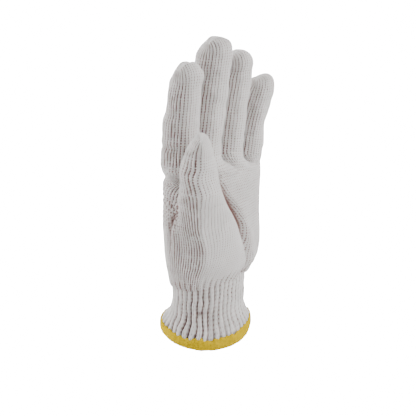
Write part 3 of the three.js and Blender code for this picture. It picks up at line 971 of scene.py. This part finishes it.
def knit_hand(key, u, points, out, pinch):
    """Raised points, inner points, relief, which is how light painted shade leaves it, and UV of one
    section of the hand.
    """
    wale_split, course_split = THUMB_SPLIT if key == "thumb" else PALM_SPLIT
    last = PALM_COURSES * PALM_SPLIT[1]
    order = np.arange(len(points))[:, None]
    v = order / PALM_SPLIT[1]
    fade = np.ones(order.shape)
    if key == "thumb":
        v = np.where(order <= pinch, v, pinch / PALM_SPLIT[1] + (order - pinch) / course_split)
        fade = tip_fade(order, course_split)
    u = u[None, :]
    folded = folds(points, out)
    arch = hand_arch(u, v)
    swell = unevenness(points, PALM_LUMPS) * fade - folded - RIB_HEIGHT * arch * rib_groove(u)
    if key == "palm":
        swell = swell * (1 - smooth(order, last - 12, last))
    else:
        swell = swell + thumb_swell(u, points[..., 2], fade)
    base = points + out * swell[..., None]
    slack = hand_slack(u, base, folded)
    wales = u
    if key == "palm":
        wales, fan, share = to_stalls(u, order / last)
        slack = mix(slack, stall_slack(share), fan)
    raised, relief = knit(base, out, wales, v, wale_split, fade, slack)
    # Painted shade where the cuff's grooves run on into the hand, and down in the hand's folds
    relief = relief * (1 - GROOVE_SHADE * arch * np.clip(rib_groove(u), 0, 1))
    relief = relief * (1 - FOLD_SHADE * np.clip(folded, 0, FOLD_DARKEST))
    inner = base - out * YARN_WALL
    if key == "thumb":
        inner[-1] = points[-1] - np.array([0, 0, YARN_WALL])
    return raised, inner, relief, np.stack(np.broadcast_arrays(u, v), -1)


def join_hand(grid, pinch):
    """Gives sections of the hand the same points where they meet, and closes the thumb's tip,
    where its face has more wales than its near side."""
    near, whole = RIDGE_WALE * THUMB_SPLIT[0], THUMB_WALES * THUMB_SPLIT[0]
    meets = np.round(np.linspace(near, 0, whole - near + 1)).astype(int)
    grid["thumb"][-1, near:] = grid["thumb"][-1, meets]
    for key in ("palm", "thumb"):
        grid[key][pinch + 1:, -1] = grid[key][pinch + 1:, 0]
    for key in ("ball", "thumb"):
        rows = min(len(grid[key]), pinch + 1)
        grid[key][:rows, 0] = grid["palm"][:rows, -1]
        grid[key][:rows, -1] = grid["palm"][:rows, 0]


def make_hand():
    """The palm with the ball of the thumb, and the thumb above its seam."""
    u, points, out, pinch = hand_rows()
    knitted = {key: knit_hand(key, u[key], points[key], out[key], pinch) for key in u}
    grids = [{key: knitted[key][k] for key in u} for k in range(4)]
    for grid in grids[:2]:
        join_hand(grid, pinch)
    split = PALM_SPLIT[1]
    count = PALM_COURSES * split
    seam = round(THUMB_SEAM / PALM_HEIGHT * PALM_COURSES) * split
    kept = sorted(set(range(0, count + 1, split * 4)) | set(range(seam, pinch + 2)) | {count})
    palm = skin(*(grid["palm"] for grid in grids), kept, (seam, pinch + 1), True)
    kept = [row for row in kept if row <= seam]
    ball = skin(*(grid["ball"][: seam + 1] for grid in grids), kept, None, True)
    make_piece("palm_knit", [palm, ball], "cotton_knit", ["palm_body"])
    free = pinch + 2 - seam
    last = len(points["thumb"]) - 1 - seam
    kept = sorted(set(range(0, free)) | set(range(free, last, 15)) | {last})
    thumb = skin(*(grid["thumb"][seam:] for grid in grids), kept, (0, free - 1))
    make_piece("thumb_knit", [thumb], "cotton_knit", ["thumb_stall"])


def cuff_loop(height, out):
    """A closed outline of the cuff at a height, out from the middle of its wall."""
    share = (height - CUFF_FOOT) / (CUFF_HEAD - CUFF_FOOT)
    flare, lean = (float(n) for n in row_at(CUFF_SHAPE, share))
    spread = HEM_FLARE * flare + out - WALL / 2
    angle = math.radians(ULNAR_TURN) + ROUND
    x, y = oval(angle, WRIST_WIDTH / 2 + spread, WRIST_DEPTH / 2 + spread, CUFF_POWER)
    y = y - PALM_LEAN * lean
    facing = np.cos(np.arctan2(y, x) - math.radians(HEM_DROOP_SIDE))
    at_hem = tilt_at(x, y, -HEM_TILT, HEM_TILT_SIDE) + HEM_DROOP * (1 - smooth(facing, -0.2, 1.0))
    lift = mix(at_hem, tilt_at(x, y, CUFF_TILT, CUFF_TILT_SIDE), max(0.0, share))
    return np.stack([x, y, height + lift], -1)


def cuff_row(u, height, out):
    """Points of the cuff at wales u, evenly spaced from the ulnar side."""
    loop = cuff_loop(height, out)
    run = run_of(loop)
    return along(loop, run, np.mod((u - ULNAR_WALE) / HAND_WALES, 1) * run[-1])


def tuck_depth(points, share):
    """How far the tucks draw the cuff's wall in."""
    turn = np.arctan2(points[..., 1], points[..., 0])
    depth = np.zeros(turn.shape)
    for side, spread, rise, height, share_of_wall in CUFF_TUCKS:
        away = from_side(turn, side, spread)
        depth += WALL * share_of_wall * np.exp(-(away**2) - ((share - rise) / height) ** 2)
    return depth


def make_cuff():
    """The ribbed cuff, from inside the binding to the palm."""
    wale_split, course_split = CUFF_SPLIT
    u = np.linspace(0, HAND_WALES, HAND_WALES * wale_split + 1)
    count = CUFF_COURSES * course_split
    order = np.arange(count + 1)[:, None]
    share = order / count
    rows = []
    for height in mix(CUFF_FOOT, CUFF_TOP + 1.4, share[:, 0]):
        tucked_under = 0.6 * smooth(height, CUFF_TOP, CUFF_TOP + 1)
        rows.append(cuff_row(u, height, WALL / 2 - tucked_under))
    points = np.array(rows)
    out = outward(points, closed_tangents(points))
    settled = 1 - smooth(share, 0.78, 0.97)
    sway = (unevenness(points, (0.34, 15.0)) + unevenness(points, (0.12, 5.0))) * settled
    groove = rib_groove(u[None, :] + sway)
    turn = np.arctan2(points[..., 1], points[..., 0])
    bunched = smooth(np.cos(turn - math.radians(BUNCHED_SIDE)), 0.5, 1.0)
    deep = RIB_DEPTH + BUNCHED_DEPTH * bunched + unevenness(points, (0.55, 10.0))
    tucked = tuck_depth(points, share)
    swell = unevenness(points, (0.35, 9.0)) * settled - RIB_HEIGHT * groove * deep - tucked
    points = points + out * swell[..., None]
    wales, v = u[None, :] + sway, order / course_split
    raised, relief = knit(points, out, wales, v, wale_split, 1.0, CUFF_SLACK, CUFF_GAPS)
    # Painted shade down in the grooves between the ribs, more where they are bunched, and in the
    # tucks
    relief = relief * (1 - (RIB_SHADE + BUNCHED_SHADE * bunched) * np.clip(groove, 0, 1))
    relief = relief * (1 - TUCK_SHADE * np.clip(tucked, 0, 2))
    raised[:, -1] = raised[:, 0]
    kept = list(range(0, count + 1, course_split))
    inner = points - out * YARN_WALL
    inner[:, -1] = inner[:, 0]
    uv = np.stack(np.broadcast_arrays(u[None, :], v), -1)
    part = skin(raised, inner, relief, uv, kept, None, True)
    make_piece("cuff_knit", [part], "cotton_knit", ["rib_cuff"])


def make_hem():
    """The overlocked hem: threads wound side by side over the cuff's edge."""
    u = np.linspace(0, HAND_WALES, HEM_THREADS * THREAD_SPLIT + 1)
    turns = u / HAND_WALES * HEM_THREADS
    run = run_of(np.array(HEM_PROFILE))
    at = np.linspace(0, run[-1], HEM_ROWS + 1)
    outs, heights = (np.interp(at, run, column) for column in zip(*HEM_PROFILE))
    own = np.random.RandomState(3).uniform(-1, 1, HEM_THREADS)
    scallop = 0.4 * np.cos(FULL * (u - 1) / RIB_WALES)
    rows = []
    for out, height in zip(outs, heights):
        row = cuff_row(u, float(height), float(out))
        wave = unevenness(row, (0.8, 16.0)) + unevenness(row, (0.35, 6.0))
        row[:, 2] -= float(smooth(height, 4.5, 7.5)) * (scallop + wave)
        rows.append(row)
    points = np.array(rows)
    out = outward(points, closed_tangents(points))
    slant = heights[:, None] * THREAD_SLANT
    phase = turns[None, :] + slant + unevenness(points, (0.15, 7.0))
    thread = np.sqrt(np.clip(1 - (2 * np.mod(phase, 1) - 1) ** 2, 0, 1))
    spread = own[np.floor(phase).astype(int) % HEM_THREADS]
    swell = THREAD_RELIEF * (thread - 0.6) + THREAD_SPREAD * spread
    raised = points + out * (swell + unevenness(points, HEM_LUMPS))[..., None]
    raised[:, -1] = raised[:, 0]
    raised[-1] = raised[0]
    # Painted shade down between the threads, and a tone that differs at random from thread to thread
    tone_and_shade = np.clip(0.62 * thread + 0.16 * spread + 0.1, 0, 1)
    uv = np.stack(np.broadcast_arrays(turns[None, :], heights[:, None]), -1)
    a = np.arange(points.shape[0] * points.shape[1]).reshape(points.shape[:2])
    part = (raised.reshape(-1, 3), faces(a[:-1], a[1:]), uv.reshape(-1, 2), tone_and_shade.ravel())
    make_piece("hem_overlock", [part], "overlock_yarn", ["hem_binding"])


def node(tree, kind, inputs=None, **settings):
    """A new node with its settings, and with inputs that are values or other sockets."""
    made = tree.nodes.new(kind)
    for name, value in settings.items():
        setattr(made, name, value)
    for name, value in (inputs or {}).items():
        if isinstance(value, bpy.types.NodeSocket):
            tree.links.new(value, made.inputs[name])
        else:
            made.inputs[name].default_value = value
    return made


def group(name, inputs, outputs):
    """An empty shader group with named sockets, and its inner ends."""
    tree = bpy.data.node_groups.new(name, "ShaderNodeTree")
    for label, kind, value in inputs:
        socket = tree.interface.new_socket(label, in_out="INPUT", socket_type=kind)
        socket.default_value = value
    for label, kind in outputs:
        tree.interface.new_socket(label, in_out="OUTPUT", socket_type=kind)
    return tree, tree.nodes.new("NodeGroupInput"), tree.nodes.new("NodeGroupOutput")


def calculation(tree, operation, a, b):
    """The result of a Math node."""
    return node(tree, "ShaderNodeMath", {0: a, 1: b}, operation=operation).outputs[0]


def noise(tree, place, scale, detail):
    """A cloudy value round a half."""
    inputs = {"Vector": place, "Scale": scale, "Detail": detail}
    return node(tree, "ShaderNodeTexNoise", inputs).outputs[0]


def mapped(tree, value, source, target, **settings):
    """A value carried from one range to another."""
    inputs = {"Value": value, "From Min": source[0], "From Max": source[1]}
    inputs.update({"To Min": target[0], "To Max": target[1]})
    return node(tree, "ShaderNodeMapRange", inputs, **settings).outputs[0]


def by_ray(tree, seen, light, end):
    """Shows the camera one shader and everything else another."""
    ray = node(tree, "ShaderNodeLightPath").outputs["Is Camera Ray"]
    both = node(tree, "ShaderNodeMixShader", {0: ray, 1: light.outputs[0], 2: seen.outputs[0]})
    tree.links.new(both.outputs[0], end.inputs["Surface"])


def yarn_tone_and_shade_group():
    """Colour of knitted yarn in soft patches, with painted shade, darker and warmer, down between the
    threads.
    """
    tree, inner, outer = group(
        "Yarn tone",
        [
            ("Yarn", "NodeSocketColor", (0.8, 0.8, 0.8, 1)),
            # the colour of the painted shade down between the threads
            ("Groove", "NodeSocketColor", (0.4, 0.35, 0.3, 1)),
            ("Depth", "NodeSocketFloat", 0.5),
            ("Patches", "NodeSocketFloat", 0.04),
        ],
        [("Color", "NodeSocketColor")],
    )
    # The relief attribute says how light painted shade leaves the yarn; where it is low the painted
    # shade colour is mixed in
    height = node(tree, "ShaderNodeAttribute", attribute_name="relief").outputs["Fac"]
    deep = mapped(tree, height, (0.7, 0.0), (0.0, 1.0), interpolation_type="SMOOTHSTEP")
    share = calculation(tree, "MULTIPLY", deep, inner.outputs["Depth"])
    cloud = noise(tree, node(tree, "ShaderNodeTexCoord").outputs["Object"], 55.0, 4.0)
    spread = mapped(tree, cloud, (0.3, 0.7), (1.0, 0.0))
    dim = calculation(tree, "MULTIPLY", spread, inner.outputs["Patches"])
    lit = calculation(tree, "SUBTRACT", 1.0, dim)
    inputs = {0: inner.outputs["Yarn"], "Scale": lit}
    yarn = node(tree, "ShaderNodeVectorMath", inputs, operation="SCALE").outputs[0]
    inputs = {0: share, 6: yarn, 7: inner.outputs["Groove"]}
    colour = node(tree, "ShaderNodeMix", inputs, data_type="RGBA")
    tree.links.new(colour.outputs[2], outer.inputs["Color"])
    return tree


def yarn_fibre_group():
    """Height and roughness of loose cotton fibre, drawn out along the yarn."""
    tree, inner, outer = group(
        "Yarn fibre",
        [("Twist", "NodeSocketFloat", 1.0), ("Fuzz", "NodeSocketFloat", 0.5)],
        [("Height", "NodeSocketFloat"), ("Roughness", "NodeSocketFloat")],
    )
    knit_uv = node(tree, "ShaderNodeUVMap", uv_map="Knit").outputs[0]
    inputs = {"Vector": knit_uv, "Scale": (9.0, 5.0, 1.0), "Rotation": (0, 0, 0.6)}
    strand = noise(tree, node(tree, "ShaderNodeMapping", inputs).outputs[0], 1.6, 3.0)
    fuzz = noise(tree, node(tree, "ShaderNodeTexCoord").outputs["Object"], 2600.0, 2.0)
    twist = calculation(tree, "MULTIPLY", strand, inner.outputs["Twist"])
    loose = calculation(tree, "MULTIPLY", fuzz, inner.outputs["Fuzz"])
    tree.links.new(calculation(tree, "ADD", twist, loose), outer.inputs["Height"])
    rough = mapped(tree, strand, (0.2, 0.8), (0.86, 1.0))
    tree.links.new(rough, outer.inputs["Roughness"])
    return tree


def surface(name):
    """A new material, its node tree and its Principled shader."""
    material = bpy.data.materials.new(name)
    material.use_nodes = True
    tree = material.node_tree
    return material, tree, tree.nodes["Principled BSDF"]


def yarn_material(name, tone_and_shade, fibre, yarn, groove, depth, patches, sheen):
    """A yarn: groups for its colour with painted groove shade and for its fibre, round one Principled
    shader.
    """
    material, tree, shader = surface(name)
    inputs = {"Yarn": (*yarn, 1), "Groove": (*groove, 1), "Depth": depth, "Patches": patches}
    colour = node(tree, "ShaderNodeGroup", node_tree=tone_and_shade)
    for label, value in inputs.items():
        colour.inputs[label].default_value = value
    fuzz = node(tree, "ShaderNodeGroup", node_tree=fibre)
    inputs = {"Height": fuzz.outputs["Height"], "Strength": 0.35, "Distance": 0.0004}
    bump = node(tree, "ShaderNodeBump", inputs)
    tree.links.new(colour.outputs["Color"], shader.inputs["Base Color"])
    tree.links.new(fuzz.outputs["Roughness"], shader.inputs["Roughness"])
    tree.links.new(bump.outputs["Normal"], shader.inputs["Normal"])
    shader.inputs["Sheen Weight"].default_value = sheen
    shader.inputs["Sheen Roughness"].default_value = 0.6
    shader.inputs["Specular IOR Level"].default_value = 0.1
    return material


class GloveKnit(bpy.types.PropertyGroup):
    """How the cotton is knitted."""

    relief: bpy.props.FloatProperty(
        name="Stitch relief",
        description="Height of a stitch as a share of its width",
        default=0.26,
        min=0.0,
        max=0.5,
        subtype="FACTOR",
    )
    roundness: bpy.props.FloatProperty(
        name="Wale roundness",
        description="How much deeper the groove is between two wales than between two stitches",
        default=0.7,
        min=0.0,
        max=2.0,
        subtype="FACTOR",
    )
    bridges: bpy.props.FloatProperty(
        name="Bridges",
        description="How far each stitch bridges the groove between two wales",
        default=0.85,
        min=0.0,
        max=1.0,
        subtype="FACTOR",
    )
    shade: bpy.props.FloatProperty(
        name="Groove shade",
        description="How fast the yarn darkens with its depth",
        default=0.6,
        min=0.0,
        max=2.0,
        subtype="FACTOR",
    )
    # Painted shade in the small holes between the stitches, where the inside would show
    holes: bpy.props.FloatProperty(
        name="Holes",
        description="How dark the small holes between the stitches are",
        default=0.62,
        min=0.0,
        max=1.0,
        subtype="FACTOR",
    )


class GloveColours(bpy.types.PropertyGroup):
    """Yarn colours."""

    cotton: bpy.props.FloatVectorProperty(
        name="Cotton",
        description="Undyed cotton yarn",
        default=(0.80, 0.775, 0.755),
        min=0.0,
        max=1.0,
        subtype="COLOR",
    )
    # Colour of the painted shade down between the stitches
    groove: bpy.props.FloatVectorProperty(
        name="Groove",
        description="Cotton down between the stitches",
        default=(0.25, 0.125, 0.105),
        min=0.0,
        max=1.0,
        subtype="COLOR",
    )
    overlock: bpy.props.FloatVectorProperty(
        name="Overlock",
        description="Thread of the hem",
        default=(0.72, 0.5, 0.0),
        min=0.0,
        max=1.0,
        subtype="COLOR",
    )


class GloveStage(bpy.types.PropertyGroup):
    """Floor, lights and camera."""

    lamp: bpy.props.FloatProperty(
        name="Lamp power",
        description="Power of the main softbox",
        default=14.6,
        min=0.0,
        unit="POWER",
    )


class GLOVE_OT_fingers(bpy.types.Operator):
    """Knits the four finger stalls"""

    bl_idname = "glove.fingers"
    bl_label = "Knit fingers"

    def execute(self, context):
        for name in FINGERS:
            make_finger(name)
        return {"FINISHED"}


class GLOVE_OT_hand(bpy.types.Operator):
    """Knits the palm and the thumb"""

    bl_idname = "glove.hand"
    bl_label = "Knit palm and thumb"

    def execute(self, context):
        make_hand()
        return {"FINISHED"}


class GLOVE_OT_cuff(bpy.types.Operator):
    """Knits the ribbed cuff"""

    bl_idname = "glove.cuff"
    bl_label = "Knit cuff"

    def execute(self, context):
        make_cuff()
        return {"FINISHED"}


class GLOVE_OT_hem(bpy.types.Operator):
    """Winds the overlock thread over the hem"""

    bl_idname = "glove.hem"
    bl_label = "Overlock hem"

    def execute(self, context):
        make_hem()
        return {"FINISHED"}


class GLOVE_OT_yarns(bpy.types.Operator):
    """Makes the two yarn materials"""

    bl_idname = "glove.yarns"
    bl_label = "Make yarns"

    def execute(self, context):
        colours = context.scene.glove_colours
        tone_and_shade, fibre = yarn_tone_and_shade_group(), yarn_fibre_group()
        shade = [part * OVERLOCK_SHADE for part in colours.overlock]
        for slot, yarn, groove, look in (
            ("cotton_knit", colours.cotton, colours.groove, COTTON_LOOK),
            ("overlock_yarn", colours.overlock, shade, OVERLOCK_LOOK),
        ):
            yarn_material(YARNS[slot], tone_and_shade, fibre, yarn, groove, *look)
        return {"FINISHED"}


def area_light(name, place, aim, size, power):
    """A softbox that is turned to a point."""
    light = bpy.data.lights.new(name, "AREA")
    light.shape = "RECTANGLE"
    light.size, light.size_y = size
    light.energy = power
    lamp = bpy.data.objects.new(name, light)
    lamp.location = place
    lamp.rotation_euler = (aim - place).to_track_quat("-Z", "Y").to_euler()
    bpy.context.scene.collection.objects.link(lamp)


def set_camera(eye, aim):
    """The photograph's camera, shifted so that its aim is off the middle as it is there."""
    data = bpy.data.cameras.new("Camera")
    data.sensor_width = SENSOR
    data.lens = FOCAL / IMAGE * SENSOR
    data.shift_x = (IMAGE / 2 - AIM_AT[0]) / IMAGE
    data.shift_y = -(IMAGE / 2 - AIM_AT[1]) / IMAGE
    camera = bpy.data.objects.new("Camera", data)
    camera.location = eye
    camera.rotation_euler = (aim - eye).to_track_quat("-Z", "Y").to_euler()
    bpy.context.scene.collection.objects.link(camera)
    bpy.context.scene.camera = camera


class GLOVE_OT_stage(bpy.types.Operator):
    """Sets the floor, the lights and the camera"""

    bl_idname = "glove.stage"
    bl_label = "Set stage"

    def execute(self, context):
        scene = context.scene
        level = CAD_BOX[0].z - FLOOR_GAP
        bpy.ops.mesh.primitive_plane_add(size=FLOOR_SIZE, location=(0, 0, level))
        floor = context.object
        floor.name = "floor"
        floor.data.materials.append(floor_material())
        scene.world = studio_world()
        eye, aim = Vector(EYE) * MM, Vector(AIM) * MM
        right = Vector((0, 0, 1)).cross(eye - aim).normalized()
        front = Vector((eye.x, eye.y, 0)).normalized()
        for name, (across, near, up, size, power) in SOFTBOXES.items():
            place = aim + right * across + front * near + Vector((0, 0, up))
            area_light(name, place, aim, size, power * scene.glove_stage.lamp)
        set_camera(eye, aim)
        return {"FINISHED"}


def floor_material():
    """A pale floor, which the camera sees nearly as white as the backdrop."""
    material, tree, shader = surface("Pale floor")
    shader.inputs["Base Color"].default_value = (0.85, 0.85, 0.85, 1)
    shader.inputs["Roughness"].default_value = 0.9
    lit = node(tree, "ShaderNodeBsdfDiffuse", {"Color": (9, 9, 9, 1)})
    glow = node(tree, "ShaderNodeEmission", {"Strength": FLOOR_GLOW})
    seen = node(tree, "ShaderNodeAddShader", {0: lit.outputs[0], 1: glow.outputs[0]})
    by_ray(tree, seen, shader, tree.nodes["Material Output"])
    return material


def studio_world():
    """White to the camera and a softer white as light."""
    world = bpy.data.worlds.new("Studio")
    world.use_nodes = True
    tree = world.node_tree
    tree.nodes.clear()
    seen = node(tree, "ShaderNodeBackground", {"Color": (1, 1, 1, 1), "Strength": BACKDROP})
    light = node(tree, "ShaderNodeBackground", {"Color": (1, 1, 1, 1), "Strength": SKY})
    by_ray(tree, seen, light, node(tree, "ShaderNodeOutputWorld"))
    return world


class GLOVE_PT_panel(bpy.types.Panel):
    """The glove's steps"""

    bl_idname = "GLOVE_PT_panel"
    bl_label = "Glove"
    bl_space_type = "VIEW_3D"
    bl_region_type = "UI"
    bl_category = "Glove"

    def draw(self, context):
        scene = context.scene
        column = self.layout.column()
        for settings, names in (
            (scene.glove_knit, ("relief", "roundness", "bridges", "shade", "holes")),
            (scene.glove_colours, ("cotton", "groove", "overlock")),
            (scene.glove_stage, ("lamp",)),
        ):
            for name in names:
                column.prop(settings, name)
        for operator in STEPS:
            column.operator(operator.bl_idname)


STEPS = (GLOVE_OT_yarns, GLOVE_OT_fingers, GLOVE_OT_hand, GLOVE_OT_cuff, GLOVE_OT_hem, GLOVE_OT_stage)
SETTINGS = {"glove_knit": GloveKnit, "glove_colours": GloveColours, "glove_stage": GloveStage}
CLASSES = (*SETTINGS.values(), *STEPS, GLOVE_PT_panel)


def register():
    for cls in CLASSES:
        bpy.utils.register_class(cls)
    for name, cls in SETTINGS.items():
        setattr(bpy.types.Scene, name, bpy.props.PointerProperty(type=cls))


def unregister():
    for name in SETTINGS:
        delattr(bpy.types.Scene, name)
    for cls in reversed(CLASSES):
        bpy.utils.unregister_class(cls)


def main():
    register()
    bpy.ops.glove.yarns()
    bpy.ops.glove.fingers()
    bpy.ops.glove.hand()
    bpy.ops.glove.cuff()
    bpy.ops.glove.hem()
    bpy.ops.glove.stage()


if __name__ == "__main__":
    main()
